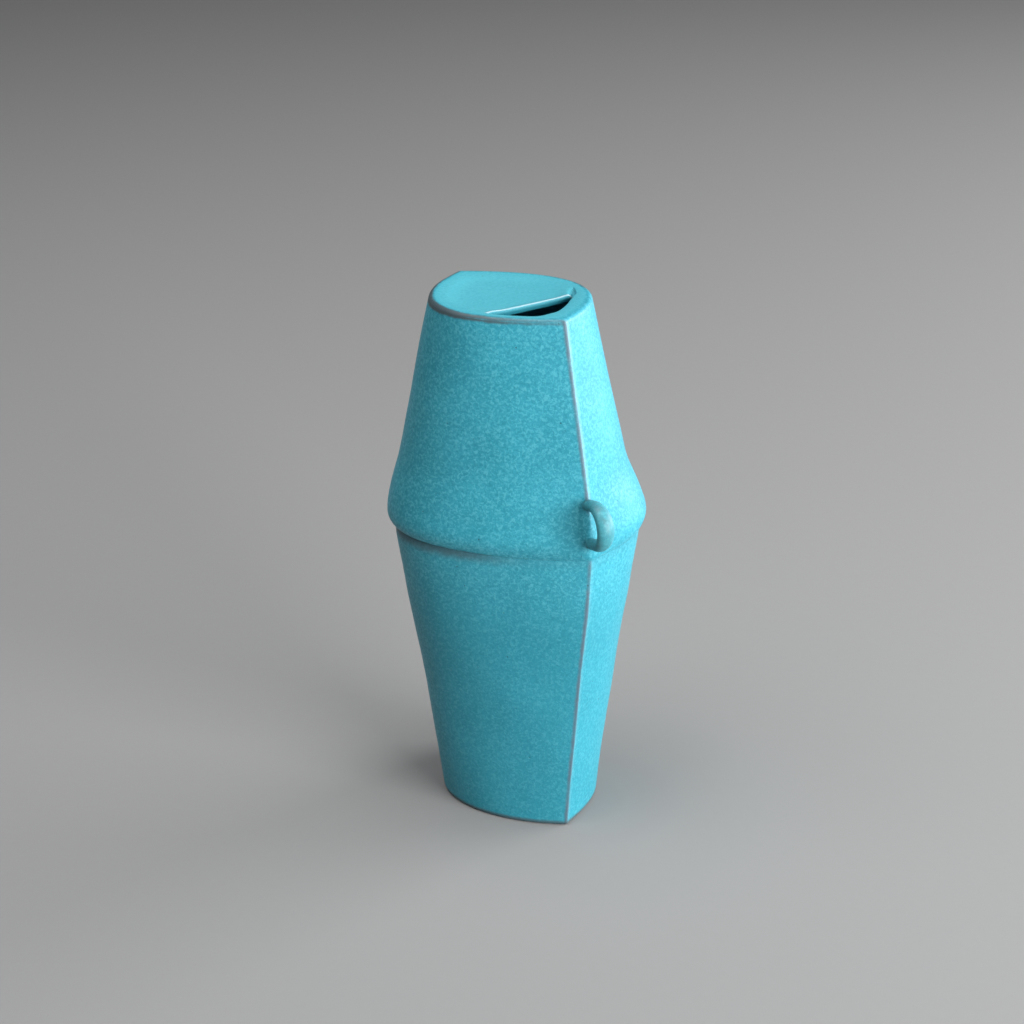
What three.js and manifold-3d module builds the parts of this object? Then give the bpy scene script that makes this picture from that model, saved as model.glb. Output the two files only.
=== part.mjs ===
// Hand-built ceramic bud vase: four bent slabs luted on a foot slab, closed by a top plate with one
// corner cut away for the stems, and a small coil ring on the front seam above the waist.
//
// Millimetres, +Z up, origin at the middle of the foot. The front seam points to +X and -Y.
// Every horizontal section is the same leaf: two like halves, turned half round from each other,
// that meet in two sharp upright seams.
import * as THREE from 'three';
import { mergeVertices } from 'three/addons/utils/BufferGeometryUtils.js';
import Module from 'manifold-3d';

const wasm = await Module();
wasm.setup();

// ---- Heights -------------------------------------------------------------------------------
const rimHeight = 150;
const flareHeight = 106; // where the straight upper taper starts to flare
const shoulderHeight = 94; // steepest part of the flare, just above the ridge
const ridgeHeight = 88.5; // widest place
const creaseHeight = 84.5; // groove where the upper body stands on the lower
const hipHeight = 70; // where the straight lower taper starts to flare

// ---- Sections ----------------------------------------------------------------------------------
// Each takes its height, half width, seam corner from the section's centre, that centre, and how
// square the left end is, as a share of the seam's depth.
const station = (z, halfWidth, [seamX, seamY], [centreX, centreY], squareness) => {
  return { z, halfWidth, seamX, seamY, centreX, centreY, squareness };
};
const foot = station(0, 22, [13.1, 22.2], [0, 0], 0.6);
const hip = station(hipHeight, 31.6, [18.8, 24.7], [-0.9, 0.7], 0.65);
const crease = station(creaseHeight, 33.8, [19.6, 25.1], [-1, 0.9], 0.66);
const ridge = station(ridgeHeight, 35.4, [19.6, 26.1], [-1.2, 0.9], 0.66);
const shoulder = station(shoulderHeight, 34.3, [20, 25.3], [-1.6, 1], 0.66);
const flare = station(flareHeight, 30.5, [19.4, 23.4], [-2.4, 1.1], 0.7);
const rim = station(rimHeight, 21.3, [14, 19.2], [-2.9, 1.6], 0.82);

// ---- Bend of a slab, shared by every section ---------------------------------------------------
const frontPull = 0.46; // how far the flat front runs before it bends, as a share of its length
const backPull = 0.45; // roundness of the end on the back side
const returnPull = 0.3; // straightness of the stretch that runs into the other seam
const returnTurn = 0.21; // turn of that stretch from its chord, in radians

// ---- Slabs ----------------------------------------------------------------------------------
const wallThickness = 3.2;
const footThickness = 4.5;
const plateThickness = 3;
const plateDrop = 0.5; // top plate below the rim
const jointGap = 0.3; // clearance in every luted joint

// ---- Mouth: the corner cut off the top plate, measured along the inside of the walls ----------
const mouthFrontLeg = 19;
const mouthSideLeg = 18.5;

// ---- Ring -------------------------------------------------------------------------------------
const ringHeight = 95.4; // middle of the ring, at the seam
const ringRadius = 5.3; // to the middle of the coil
const coilWidth = 4.7; // across the ring
const coilThickness = 3.1; // from the inside of the ring to the outside
const ringStandOff = 2.6; // middle of the ring's bend outside the seam's edge
const ringTurn = 0.07; // turn of the ring from the middle between both walls, in radians
const ringTilt = 0.26; // rise of the ring's outer end, as the wall leans back there, in radians

// ---- Fineness ----------------------------------------------------------------------------------
const pointsPerBend = 12;
const ringSteps = 48;
const coilSides = 16;
const legSteps = 4;
const bendSteps = 12;
const taperStep = 22; // tallest course between two rings of a straight taper
const flareStep = 3; // tallest course where the wall curves
const farOutside = 100; // size of the blocks that trim a piece
const seamReach = 5; // how far a trimming block runs past a seam

const stations = [foot, hip, crease, ridge, shoulder, flare, rim];
const keys = ['halfWidth', 'seamX', 'seamY', 'centreX', 'centreY', 'squareness'];
const rise = (low, high, key) => (high[key] - low[key]) / (high.z - low.z);

// Slope of a value at the start and end of the span over a station. The tapers are straight, the
// crease is a sharp groove under the round ridge, and the flare eases into the upper taper.
function slopesOver(low, high, key) {
  const straight = rise(low, high, key);
  const flaring = rise(ridge, flare, key);
  if (low === crease) return [2 * straight, 0];
  if (low === ridge) return [0, flaring];
  if (low === shoulder) return [flaring, rise(flare, rim, key)];
  return [straight, straight];
}

// A smooth step from one station's value to the next one's.
function blend(low, high, key, z) {
  const [leaving, arriving] = slopesOver(low, high, key);
  const span = high.z - low.z;
  const t = (z - low.z) / span;
  const level = low[key] * (1 + 2 * t) * (1 - t) ** 2 + high[key] * t ** 2 * (3 - 2 * t);
  return level + span * t * (1 - t) * (leaving * (1 - t) - arriving * t);
}

function sectionAt(z) {
  const above = stations.findIndex((station) => station.z > z);
  const index = above < 0 ? stations.length - 2 : Math.max(above - 1, 0);
  const [low, high] = stations.slice(index, index + 2);
  return Object.fromEntries(keys.map((key) => [key, blend(low, high, key, z)]));
}

// Way in which a half of the leaf runs into the back seam.
function arrivalOf({ halfWidth, seamX, seamY }) {
  const chord = new THREE.Vector2(halfWidth - seamX, seamY);
  return chord.rotateAround(new THREE.Vector2(), -returnTurn);
}

// One half of the leaf: from the front seam along the front, round the left end, to the back seam.
function leafHalf(section) {
  const { halfWidth, seamX, seamY, squareness } = section;
  const seam = new THREE.Vector2(seamX, -seamY);
  const end = new THREE.Vector2(-halfWidth, 0);
  const backSeam = seam.clone().negate();
  const front = new THREE.CubicBezierCurve(
    seam,
    new THREE.Vector2(seamX - frontPull * (seamX + halfWidth), -seamY),
    new THREE.Vector2(-halfWidth, -squareness * seamY),
    end,
  );
  const back = new THREE.CubicBezierCurve(
    end,
    new THREE.Vector2(-halfWidth, backPull * seamY),
    backSeam.clone().addScaledVector(arrivalOf(section), -returnPull),
    backSeam,
  );
  return [...front.getPoints(pointsPerBend), ...back.getPoints(pointsPerBend).slice(1, -1)];
}

// The section a distance further out (in, if negative). Its seam is where both moved slabs meet.
function movedSection(section, distance) {
  const arrival = arrivalOf(section).normalize();
  const offFront = new THREE.Vector2(0, -1);
  const offSide = new THREE.Vector2(arrival.y, -arrival.x);
  const mitre = offFront.add(offSide).multiplyScalar(distance / (1 + arrival.x));
  return {
    ...section,
    halfWidth: section.halfWidth + distance,
    seamX: section.seamX + mitre.x,
    seamY: section.seamY - mitre.y,
  };
}

// The closed outline at height z, clockwise from above, moved out by the offset (in, if negative).
function outlineAt(z, offset) {
  const section = sectionAt(z);
  const centre = new THREE.Vector2(section.centreX, section.centreY);
  const half = leafHalf(movedSection(section, offset));
  const loop = [...half, ...half.map((point) => point.clone().negate())];
  return loop.map((point) => point.add(centre));
}

// Heights of the rings between two levels: close together where the wall curves.
function courses(low, high) {
  const levels = [low];
  const stops = [...stations.map((station) => station.z).filter((z) => z > low && z < high), high];
  for (const stop of stops) {
    const from = levels[levels.length - 1];
    const curved = from >= hipHeight && stop <= flareHeight;
    const steps = Math.ceil((stop - from) / (curved ? flareStep : taperStep));
    for (let k = 1; k <= steps; k++) levels.push(from + ((stop - from) * k) / steps);
  }
  return levels;
}

// A closed solid through a stack of outlines that run clockwise from above.
function loft(outlines) {
  const count = outlines[0].loop.length;
  const vertices = [];
  const faces = [];
  for (const { loop, z } of outlines) {
    for (const point of loop) vertices.push(point.x, point.y, z);
  }
  for (let ring = 0; ring < outlines.length - 1; ring++) {
    for (let i = 0; i < count; i++) {
      const a = ring * count + i;
      const b = ring * count + ((i + 1) % count);
      faces.push(a, a + count, b, b, a + count, b + count);
    }
  }
  const lid = (outlines.length - 1) * count;
  for (let i = 1; i < count - 1; i++) {
    faces.push(0, i, i + 1);
    faces.push(lid, lid + i + 1, lid + i);
  }
  const geometry = new THREE.BufferGeometry();
  geometry.setAttribute('position', new THREE.Float32BufferAttribute(vertices, 3));
  geometry.setIndex(faces);
  return geometry;
}

function bodyBetween(low, high, offset) {
  return solid(loft(courses(low, high).map((z) => ({ z, loop: outlineAt(z, offset) }))));
}

// A boolean solid from a three.js geometry, and back.
function solid(geometry) {
  const bare = geometry.clone();
  bare.deleteAttribute('normal');
  bare.deleteAttribute('uv');
  const merged = mergeVertices(bare);
  const vertProperties = merged.getAttribute('position').array;
  const triVerts = new Uint32Array(merged.index.array);
  return new wasm.Manifold(new wasm.Mesh({ numProp: 3, vertProperties, triVerts }));
}

function geometryOf(made) {
  const { vertProperties, triVerts, numProp } = made.getMesh();
  const geometry = new THREE.BufferGeometry();
  geometry.setAttribute('position', new THREE.BufferAttribute(Float32Array.from(vertProperties), numProp));
  geometry.setIndex(Array.from(triVerts));
  geometry.computeVertexNormals();
  return geometry;
}

// A tall block on one side of the upright plane through the points from and to.
function blockBeside(from, to, setBack) {
  const along = to.clone().sub(from).normalize();
  const side = new THREE.Vector2(along.y, -along.x);
  const middle = from.clone().add(to).multiplyScalar(0.5).addScaledVector(side, setBack + farOutside);
  const block = new THREE.BoxGeometry(2 * farOutside, 2 * farOutside, 4 * farOutside);
  block.rotateZ(Math.atan2(along.y, along.x));
  block.translate(middle.x, middle.y, 0);
  return solid(block);
}

// ---- Walls ------------------------------------------------------------------------------------

const halfGap = jointGap / 2;
const lowerFoot = footThickness + jointGap;
const seamCount = 2 * pointsPerBend; // points from one seam to the other

// The two slabs of a course of wall, in front of the seams and behind them.
function wallSlabs(low, high) {
  const levels = courses(low, high);
  const outer = levels.map((z) => ({ z, loop: outlineAt(z, 0) }));
  const inner = levels.map((z) => ({ z, loop: outlineAt(z, -wallThickness) }));
  const shell = solid(loft(outer)).subtract(solid(loft(stretched(inner))));
  return {
    front: shell.intersect(beforeSeams(outer, halfGap)),
    back: shell.subtract(beforeSeams(outer, -halfGap)),
  };
}

// The same stack with its two end outlines pushed out of the slab, so a cut leaves no skin.
function stretched(stack) {
  const bottom = { ...stack[0], z: stack[0].z - jointGap };
  const top = { ...stack[stack.length - 1], z: stack[stack.length - 1].z + jointGap };
  return [bottom, ...stack, top];
}

// Everything before the sheet that runs through both seams, set back from it.
function beforeSeams(stack, setBack) {
  const halves = stretched(stack).map(({ z, loop }) => {
    const from = loop[0];
    const to = loop[seamCount];
    const along = to.clone().sub(from).normalize();
    const out = new THREE.Vector2(-along.y, along.x);
    const corner = (end, run, depth) => end.clone().addScaledVector(along, run).addScaledVector(out, depth);
    return {
      z,
      loop: [
        corner(from, -seamReach, farOutside),
        corner(to, seamReach, farOutside),
        corner(to, seamReach, setBack),
        corner(to, 0, setBack),
        corner(from, 0, setBack),
        corner(from, -seamReach, setBack),
      ],
    };
  });
  return solid(loft(halves));
}

// ---- Top plate and mouth ------------------------------------------------------------------------

// The point a given way along the inside of the wall from the front seam, to either hand.
function alongInside(loop, distance, step) {
  let left = distance;
  let index = 0;
  const next = () => loop[(index + step + loop.length) % loop.length];
  while (loop[index].distanceTo(next()) < left) {
    left -= loop[index].distanceTo(next());
    index = (index + step + loop.length) % loop.length;
  }
  return loop[index].clone().lerp(next(), left / loop[index].distanceTo(next()));
}

function topPlate() {
  const top = rimHeight - plateDrop;
  const plate = bodyBetween(top - plateThickness, top, -wallThickness - jointGap);
  const inside = outlineAt(rimHeight, -wallThickness);
  const onFront = alongInside(inside, mouthFrontLeg, 1);
  const onSide = alongInside(inside, mouthSideLeg, -1);
  return plate.subtract(blockBeside(onFront, onSide, 0));
}

// ---- Ring -----------------------------------------------------------------------------------------

// A flattened coil bent to half a ring with two legs, which are shaped to the wall at the seam.
function ringHandle() {
  const edge = outlineAt(ringHeight, 0);
  const beside = [edge[1], edge[edge.length - 1]].map((point) => point.clone().sub(edge[0]).normalize());
  const between = beside[0].add(beside[1]).negate().normalize();
  const outward = between.rotateAround(new THREE.Vector2(), ringTurn);
  const legs = [1, -1].map((side) => {
    const bend = new THREE.Vector3(0, side * ringRadius, 0);
    return new THREE.LineCurve3(bend.clone().setX(-ringStandOff - seamReach), bend);
  });
  const route = [...legs[0].getPoints(legSteps).slice(0, -1)];
  for (let k = 0; k <= bendSteps; k++) {
    const angle = Math.PI * (0.5 - k / bendSteps);
    route.push(new THREE.Vector3(Math.cos(angle), Math.sin(angle), 0).multiplyScalar(ringRadius));
  }
  route.push(...legs[1].getPoints(legSteps).slice(0, -1).reverse());
  const section = new THREE.Shape().absellipse(0, 0, coilWidth / 2, coilThickness / 2, 0, 2 * Math.PI);
  const coil = new THREE.ExtrudeGeometry(new THREE.Shape(section.getSpacedPoints(coilSides).slice(1)), {
    steps: ringSteps,
    extrudePath: new THREE.CatmullRomCurve3(route),
  });
  coil.translate(ringStandOff, 0, 0);
  coil.rotateZ(ringTilt);
  coil.rotateX(Math.PI / 2);
  coil.rotateZ(Math.atan2(outward.y, outward.x));
  coil.translate(edge[0].x, edge[0].y, ringHeight);
  return solid(coil).subtract(bodyBetween(creaseHeight - flareStep, rimHeight, jointGap));
}

// ---- The vase ---------------------------------------------------------------------------------------

const glaze = { roughness: 0.5, metalness: 0 };
const shadeGlaze = new THREE.MeshStandardMaterial({ color: 0x3fa3b8, ...glaze });
const paleGlaze = new THREE.MeshStandardMaterial({ color: 0x62bfd0, ...glaze });
const ringGlaze = new THREE.MeshStandardMaterial({ color: 0x4f9fb0, ...glaze });

const vase = new THREE.Group();

function addPiece(name, made, material) {
  const mesh = new THREE.Mesh(geometryOf(made), material);
  mesh.name = name;
  vase.add(mesh);
}

addPiece('foot_slab', bodyBetween(0, footThickness, 0), shadeGlaze);
const lowerWalls = wallSlabs(lowerFoot, creaseHeight - halfGap);
const upperWalls = wallSlabs(creaseHeight + halfGap, rimHeight);
addPiece('lower_front_wall', lowerWalls.front, shadeGlaze);
addPiece('lower_back_wall', lowerWalls.back, shadeGlaze);
addPiece('upper_front_wall', upperWalls.front, paleGlaze);
addPiece('upper_back_wall', upperWalls.back, paleGlaze);
addPiece('top_plate', topPlate(), paleGlaze);
addPiece('ring_handle', ringHandle(), ringGlaze);

export default vase;
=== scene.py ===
import math

import bmesh
import bpy
import numpy as np
from bpy.props import FloatProperty, FloatVectorProperty, PointerProperty
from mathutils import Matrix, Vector, noise


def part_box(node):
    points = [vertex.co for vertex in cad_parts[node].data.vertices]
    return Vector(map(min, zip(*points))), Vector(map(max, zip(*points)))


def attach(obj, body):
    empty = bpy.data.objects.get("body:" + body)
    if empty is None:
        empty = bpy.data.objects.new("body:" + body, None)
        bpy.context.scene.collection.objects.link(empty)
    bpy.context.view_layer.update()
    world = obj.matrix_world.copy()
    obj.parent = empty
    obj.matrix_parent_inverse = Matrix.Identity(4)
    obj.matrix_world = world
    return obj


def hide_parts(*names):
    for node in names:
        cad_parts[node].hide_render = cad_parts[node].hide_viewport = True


# A hand-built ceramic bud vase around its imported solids. Shapes are worked out in millimetres and
# enter the scene in metres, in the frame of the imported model: +Z up, the broad front faces -Y.

bl_info = {
    "name": "Hand-built bud vase",
    "version": (1, 0, 0),
    "blender": (4, 5, 0),
    "location": "3D View > Sidebar > Bud vase",
    "description": "Builds a slab-built bud vase with a satin turquoise glaze",
    "category": "Add Mesh",
}

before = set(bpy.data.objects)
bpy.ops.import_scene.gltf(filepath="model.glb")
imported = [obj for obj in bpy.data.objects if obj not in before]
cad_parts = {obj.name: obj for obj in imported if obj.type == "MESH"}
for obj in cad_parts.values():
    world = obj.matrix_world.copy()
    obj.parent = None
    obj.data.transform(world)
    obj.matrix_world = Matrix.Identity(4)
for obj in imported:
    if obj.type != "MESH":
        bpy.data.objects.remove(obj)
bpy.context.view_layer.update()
MM = 0.001


# ---- Sizes and colours -----------------------------------------------------------------------------


def level(node, corner):
    """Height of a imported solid's underside (corner 0) or top (corner 1), in millimetres."""
    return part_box(node)[corner].z / MM


RIM_LEVEL = level("upper_front_wall", 1)
CREASE_LEVEL = (level("lower_front_wall", 1) + level("upper_front_wall", 0)) / 2
FOOT_LEVEL = (level("foot_slab", 1) + level("lower_front_wall", 0)) / 2
RING_TOP = level("ring_handle", 1)
PLATE_UNDERSIDE = level("top_plate", 0)


def length(name, description, millimetres):
    """A length, held in metres and shown in the scene's units."""
    return FloatProperty(
        name=name, description=description, default=millimetres * MM, unit="LENGTH", precision=5
    )


def section(name, description, *millimetres):
    """A leaf section: half width, seam corner and centre."""
    metres = [value * MM for value in millimetres]
    return FloatVectorProperty(
        name=name, description=description, size=5, default=metres, unit="LENGTH", precision=5
    )


def share(name, description, default):
    """A plain number from 0 up."""
    return FloatProperty(name=name, description=description, default=default, min=0)


def angle(name, description, radians):
    """An angle."""
    return FloatProperty(name=name, description=description, default=radians, subtype="ANGLE")


def power(name, description, watts):
    """The power of a lamp."""
    return FloatProperty(name=name, description=description, default=watts, unit="POWER")


def colour(name, description, *rgb):
    """A colour of a glaze or of the stage."""
    return FloatVectorProperty(
        name=name, description=description, size=3, default=rgb, min=0, max=1, subtype="COLOR"
    )


STATIONS = ("foot", "hip", "crease", "ridge", "shoulder", "flare", "rim")


class VaseShape(bpy.types.PropertyGroup):
    """Sections of the body, from the foot up: half width, seam corner X and Y, centre X and Y."""

    levels: FloatVectorProperty(
        name="Levels",
        description="Heights of the sections, from the foot to the rim",
        size=len(STATIONS),
        default=[z * MM for z in (0, 70, CREASE_LEVEL, 88.5, 94, 106, RIM_LEVEL)],
        unit="LENGTH",
        precision=5,
    )
    foot: section("Foot", "Section that stands on the table", 22, 13.1, 22.2, 0, 0)
    hip: section("Hip", "Where the lower taper starts to flare", 31.6, 18.8, 24.7, -0.9, 0.7)
    crease: section("Crease", "Groove between the bodies", 33.8, 19.6, 25.1, -1, 0.9)
    ridge: section("Ridge", "Widest section", 35.4, 19.6, 26.1, -1.2, 0.9)
    shoulder: section("Shoulder", "Steepest part of the flare", 34.3, 20, 25.3, -1.6, 1)
    flare: section("Flare", "Where the upper taper starts", 30.5, 19.4, 23.4, -2.4, 1.1)
    rim: section("Rim", "Section at the rim", 21.3, 14, 19.2, -2.9, 1.6)
    squareness: FloatVectorProperty(
        name="Squareness",
        description="How square the left end of each section is, as a share of the seam's depth",
        size=len(STATIONS),
        default=(0.6, 0.65, 0.66, 0.66, 0.66, 0.7, 0.82),
    )
    front_pull: share("Front pull", "How far the flat front runs before it bends", 0.46)
    back_pull: share("Back pull", "Roundness of the end on the back side", 0.45)
    return_pull: share("Return pull", "Straightness of the run into the back seam", 0.3)
    return_turn: angle("Return turn", "Turn of the run into the back seam from its chord", 0.21)


class WallSizes(bpy.types.PropertyGroup):
    """Thickness, rounded edges and hand marks of the slabs."""

    thickness: length("Wall", "Thickness of the wall slabs", 3.2)
    seam_round: length("Seam rounding", "Run of the rounding to each side of a seam", 0.45)
    soft_seam: length("Soft seam", "Run of the rounding where the seam crosses the ridge", 2.4)
    inner_round: length("Inner rounding", "Run of the rounding inside a seam", 4.5)
    corner_fill: length("Corner fill", "Extra clay in the mouth's corner, on its side wall", 2.3)
    rim_round: length("Rim rounding", "Radius of the rim's outer edge", 1.0)
    lip_round: length("Lip rounding", "Radius of the mouth's inner edge", 0.5)
    lip_fall: length("Lip fall", "Fall of the rim from its outer to its inner edge", 0.12)
    foot_round: length("Foot rounding", "Radius of the edge around the foot", 1.1)
    waisting: length("Waisting", "How far the lower walls bow inwards", 0.45)
    crease_depth: length("Crease depth", "Depth of the groove, at its faint end", 0.14)
    crease_swell: length("Crease swell", "Further depth of the groove at the left end", 0.6)
    unevenness: length("Unevenness", "Height of the broad marks of the hands", 0.3)
    ripple: length("Ripple", "Height of the small marks of the hands", 0.07)


class MouthSizes(bpy.types.PropertyGroup):
    """The top plate and the corner that is cut off it."""

    front_leg: length("Front leg", "Mouth along the inside of the front wall", 19)
    side_leg: length("Side leg", "Mouth along the inside of the side wall", 18.5)
    dish: length("Dish", "How far the plate sinks behind its edge", 0.45)
    dish_run: length("Dish run", "Way from the edge in which the plate sinks", 3.5)
    burr: length("Burr", "Height of the raised edge along the cut", 0.3)
    burr_run: length("Burr run", "Width of the raised edge along the cut", 0.8)
    cut_round: length("Cut rounding", "Radius of the edge along the cut", 0.3)
    cut_face: length("Cut face", "Height of the face along the cut, above its bevel", 1.5)
    bevel: length("Bevel", "How far the bevel under the cut runs back", 2.6)
    notch: length("Notch", "Depth of the notch that runs on behind the mouth", 1.3)
    notch_run: length("Notch run", "Length of the notch behind the mouth", 5.5)
    notch_width: length("Notch width", "Width of the notch", 1.1)


class RingSizes(bpy.types.PropertyGroup):
    """The coil ring on the front seam."""

    radius: length("Radius", "Ring's middle to the middle of the coil", 5.3)
    width: length("Width", "Width of the flattened coil across the ring", 4.7)
    thickness: length("Thickness", "Thickness of the flattened coil", 3.1)
    stand_off: length("Stand-off", "Middle of the ring's bend outside the seam", 2.6)
    turn: angle("Turn", "Turn of the ring from the middle between both walls", 0.07)
    tilt: angle("Tilt", "Rise of the ring's outer end", 0.26)
    bite: length("Bite", "How far the coil's ends run into the wall", 1.2)
    slimming: length("Slimming", "How much narrower the coil is where it is luted on", 1.5)


class GlazeColours(bpy.types.PropertyGroup):
    """Colours of the satin glaze and of the clay that shows through it; some are also painted as shade or
    highlight.
    """

    # The deep glaze is also painted as shade on the top's cut face and over the lower body.
    deep: colour("Deep glaze", "Glaze where it lies thick", 0.012, 0.21, 0.28)
    middle: colour("Glaze", "Main colour of the glaze", 0.034, 0.32, 0.42)
    light: colour("Light glaze", "Light flecks of the mottle", 0.15, 0.56, 0.66)
    top: colour("Top glaze", "Smoother glaze on the flat top", 0.075, 0.4, 0.49)
    coil: colour("Coil glaze", "Thin glaze over the coil", 0.055, 0.27, 0.32)
    # Worn clay, painted on the lit side of the seams and along the cut's arris, so it is partly a painted
    # highlight.
    clay: colour("Clay edge", "Clay that shows on a worn edge", 0.36, 0.5, 0.56)
    # Iron line where the glaze breaks under the rim; the same colour is painted as shade under the
    # crease, at the foot and on the rim's shaded left end, and as patches on the coil.
    iron_and_shade: colour("Iron line", "Dark line under the rim", 0.065, 0.1, 0.115)
    # Painted shade: the worn clay of a seam, coloured dark on the seam's shaded side.
    shaded_clay: colour("Seam line", "Dark line beside the seam", 0.1, 0.13, 0.17)
    pinhole: colour("Pinhole", "Bottom of a pinhole", 0.01, 0.09, 0.12)


class StageSettings(bpy.types.PropertyGroup):
    """Camera, lamps and floor."""

    camera_place: FloatVectorProperty(
        name="Camera",
        description="Place of the camera",
        size=3,
        default=(-0.0024, -0.52576, 0.34158),
        unit="LENGTH",
        subtype="TRANSLATION",
        precision=5,
    )
    camera_pitch: angle("Camera pitch", "How far the camera looks down", 0.450204)
    lens: FloatProperty(
        name="Lens", description="Focal length of the camera", default=50, unit="CAMERA"
    )
    sensor: FloatProperty(
        name="Sensor", description="Width of the camera's sensor", default=24, unit="CAMERA"
    )
    front: power("Front lamp", "Soft lamp in front on the right", 21)
    side: power("Side lamp", "Soft lamp on the right", 6)
    window: power("Window lamp", "Soft lamp on the right behind the vase", 18)
    top: power("Top lamp", "Soft lamp right above", 9)
    left: power("Left lamp", "Weak soft lamp high on the left", 5)
    room: share("Room light", "Even light from all around", 0.01)
    floor: colour("Floor", "Colour of the floor and the backdrop", 0.26, 0.26, 0.26)


def mm(value):
    """A length or a row of lengths in millimetres."""
    return np.array(value) / MM if hasattr(value, "__len__") else value / MM


# ---- Leaf section ----------------------------------------------------------------------------------

QUARTER = np.radians(np.arange(0, 91, 15))  # steps over a rounded edge
ARC = np.linspace(0, 0.5, 6)  # steps over one half of a rounded seam
NEAR_SEAM = np.array([0.4, 0.8, 1.3, 1.9, 2.6, 3.4, 4.4])  # columns close to a seam
BETWEEN = np.linspace(0, 1, 62)[1:-1]  # columns over the rest of a slab
FINE = np.linspace(0, 1, 90)  # points of a curve before it is measured out
COLUMNS = 2 * len(ARC) + 2 * len(NEAR_SEAM) + len(BETWEEN)


def smooth_step(value):
    """0 below 0, 1 above 1, with a soft change between."""
    held = np.clip(value, 0, 1)
    return held * held * (3 - 2 * held)


def ways_along(points):
    """Distance of each point of a row from the first one, along the row."""
    return np.append(0, np.cumsum(np.linalg.norm(np.diff(points, axis=0), axis=1)))


def station_level(name):
    """Height of one of the named sections, in millimetres."""
    return mm(bpy.context.scene.vase_shape.levels[STATIONS.index(name)])


def section_at(z):
    """Half width, seam corner, centre and squareness of the leaf at height z."""
    shape = bpy.context.scene.vase_shape
    levels = mm(shape.levels)
    stations = [np.append(mm(getattr(shape, n)), q) for n, q in zip(STATIONS, shape.squareness)]
    index = int(np.clip(np.searchsorted(levels, z, side="right") - 1, 0, len(levels) - 2))

    def rise(low, high):
        return (stations[high] - stations[low]) / (levels[high] - levels[low])

    # Slopes at both ends of the stretches that don't run straight from section to section.
    straight = rise(index, index + 1)
    crease, ridge, shoulder, flare, rim = range(STATIONS.index("crease"), len(STATIONS))
    leaving, arriving = {
        crease: (2 * straight, 0 * straight),
        ridge: (0 * straight, rise(ridge, flare)),
        shoulder: (rise(ridge, flare), rise(flare, rim)),
    }.get(index, (straight, straight))
    span = levels[index + 1] - levels[index]
    t = (z - levels[index]) / span
    between = stations[index] + (stations[index + 1] - stations[index]) * t**2 * (3 - 2 * t)
    return between + span * t * (1 - t) * (leaving * (1 - t) - arriving * t)


def arrival_of(half_width, seam_x, seam_y):
    """Way in which a half of the leaf runs into the back seam."""
    turn = -bpy.context.scene.vase_shape.return_turn
    run, depth = half_width - seam_x, seam_y
    cosine, sine = math.cos(turn), math.sin(turn)
    return np.array([run * cosine - depth * sine, run * sine + depth * cosine])


def bezier(start, pull, lead, end):
    """A fine row of points along a cubic curve."""
    t = FINE[:, None]
    u = 1 - t
    return u**3 * start + 3 * u * u * t * pull + 3 * u * t * t * lead + t**3 * end


def sharp_half(z, out):
    """One half of the leaf at height z, moved out, from the front seam round to the back seam."""
    shape = bpy.context.scene.vase_shape
    half_width, seam_x, seam_y, _, _, squareness = section_at(z)
    arrival = arrival_of(half_width, seam_x, seam_y)
    arrival /= np.linalg.norm(arrival)
    mitre = np.array([arrival[1], -1 - arrival[0]]) * out / (1 + arrival[0])
    half_width += out
    seam_x += mitre[0]
    seam_y -= mitre[1]
    seam = np.array([seam_x, -seam_y])
    end = np.array([-half_width, 0])
    flat = np.array([seam_x - shape.front_pull * (seam_x + half_width), -seam_y])
    corner = np.array([-half_width, -squareness * seam_y])
    bend = np.array([-half_width, shape.back_pull * seam_y])
    run_in = -seam - arrival_of(half_width, seam_x, seam_y) * shape.return_pull
    return np.vstack([bezier(seam, flat, corner, end), bezier(end, bend, run_in, -seam)[1:]])


def half_ring(z, out, rounding):
    """Points, ways out and distances from the front seam over one half, with both seams rounded."""
    half = sharp_half(z, out)
    ways = ways_along(half)
    whole = ways[-1]

    def at(way):
        return np.stack([np.interp(way, ways, half[:, axis]) for axis in (0, 1)], -1)

    near, far = at(rounding), at(whole - rounding)
    first, last = rounding + NEAR_SEAM[-1], whole - rounding - NEAR_SEAM[-1]
    middle = np.concatenate(
        [rounding + NEAR_SEAM, first + (last - first) * BETWEEN, whole - rounding - NEAR_SEAM[::-1]]
    )
    # The halves share each seam's rounding: this one ends the arc before it and begins the next.
    a = (ARC + 0.5)[:, None]
    b = ARC[:, None]
    leaving = (1 - a) ** 2 * -far + 2 * a * (1 - a) * half[0] + a * a * near
    coming = (1 - b) ** 2 * far - 2 * b * (1 - b) * half[0] - b * b * near
    points = np.vstack([leaving, at(middle), coming])
    along = np.gradient(points, axis=0)
    along[0] = near + far
    along[-1] = -along[0]
    outward = np.stack([-along[:, 1], along[:, 0]], -1)
    outward /= np.linalg.norm(outward, axis=1)[:, None]
    edge = 2 * ARC * rounding
    distances = np.concatenate([edge, middle, whole - edge[::-1]])
    return points, outward, distances, whole


def seam_rounding(z):
    """Run of the rounding beside a seam: small on the tapers, soft across the ridge."""
    walls = bpy.context.scene.vase_walls
    sharp, soft = mm(walls.seam_round), mm(walls.soft_seam)
    reach_over, reach_under = 7.5, 6.0
    above_ridge = z - station_level("ridge")
    reach = reach_over if above_ridge > 0 else reach_under
    return sharp + (soft - sharp) * smooth_step(1 - abs(above_ridge) / reach)


def hand_marks(points):
    """Height of the marks that hands left on the slab at each point."""
    walls = bpy.context.scene.vase_walls
    broad, small = mm(walls.unevenness), mm(walls.ripple)
    broad_run, small_run = 24.0, 7.5
    return np.array(
        [
            broad * noise.noise(Vector(p) / broad_run) + small * noise.noise(Vector(p) / small_run)
            for p in points
        ]
    )


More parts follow.
